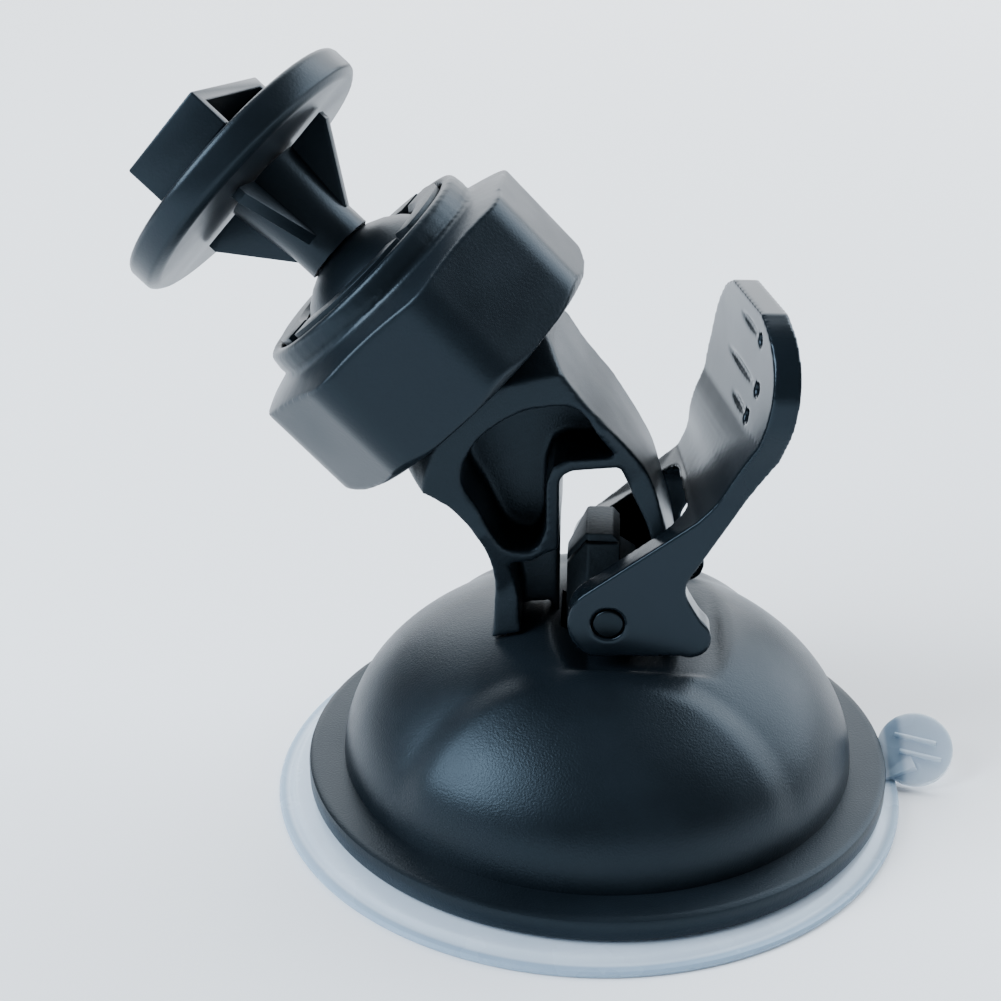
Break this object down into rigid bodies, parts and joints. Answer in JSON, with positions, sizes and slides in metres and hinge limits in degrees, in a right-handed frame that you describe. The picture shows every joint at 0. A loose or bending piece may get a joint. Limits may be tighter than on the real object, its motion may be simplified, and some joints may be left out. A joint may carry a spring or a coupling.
{
  "type": "windscreen suction mount for a dash camera",
  "caption": "Windscreen suction mount for a dash camera: soft pad and dome, arched bracket arm, lock lever, clamp nut and ball-jointed camera plate.",
  "frame": {"origin": "on the dome's axis at the underside of the suction pad", "axes": "+Z away from the glass, +X towards the pull tab and the side the lever folds to, +Y completes the right hand"},
  "size_m": [0.0794, 0.0624, 0.0721],
  "materials": {
    "black_plastic": "fine textured satin",
    "satin_plastic": "satin",
    "gloss_plastic": "gloss",
    "rough_plastic": "rough, unpolished moulding",
    "pin_metal": "blackened, satin",
    "soft_pad": "milky translucent, soft"
  },
  "bodies": {
    "base": {"dome_housing": "black_plastic", "bracket_arm": "black_plastic", "ball_socket": "black_plastic", "suction_pad": "soft_pad"},
    "stem": {"lift_stem": "rough_plastic", "stem_cap": "rough_plastic", "pad_core": "rough_plastic", "hinge_pin": "pin_metal"},
    "lever": {"release_lever": "gloss_plastic"},
    "nut": {"clamp_nut": "satin_plastic"},
    "ball_body": {"ball": "satin_plastic"},
    "plate": {"plate_stem": "satin_plastic", "plate_disc": "satin_plastic", "hook_block": "satin_plastic"}
  },
  "joints": [
    {"name": "stem_lift", "type": "slide", "parent": "base", "child": "stem", "axis": [0, 0, 1], "range_m": [0, 0.0052]},
    {"name": "lever_hinge", "type": "hinge", "parent": "stem", "child": "lever", "pos_m": [0.00086, 0, 0.0221], "axis": [0, 1, 0], "range_deg": [0, 65]},
    {"name": "nut_turn", "type": "hinge", "parent": "base", "child": "nut", "pos_m": [-0.0179, 0, 0.0486], "axis": [-0.6947, 0, 0.7193], "range_deg": [0, 360]},
    {"name": "ball_swivel", "type": "hinge", "parent": "base", "child": "ball_body", "pos_m": [-0.0179, 0, 0.0486], "axis": [-0.6947, 0, 0.7193], "continuous": true},
    {"name": "ball_tilt", "type": "hinge", "parent": "ball_body", "child": "plate", "pos_m": [-0.0179, 0, 0.0486], "axis": [-0.6328, -0.4756, -0.6111], "range_deg": [-31, 10]}
  ],
  "couplings": [
    {"joint": "stem_lift", "follows": "lever_hinge", "m_per_rad": 0.00458}
  ]
}
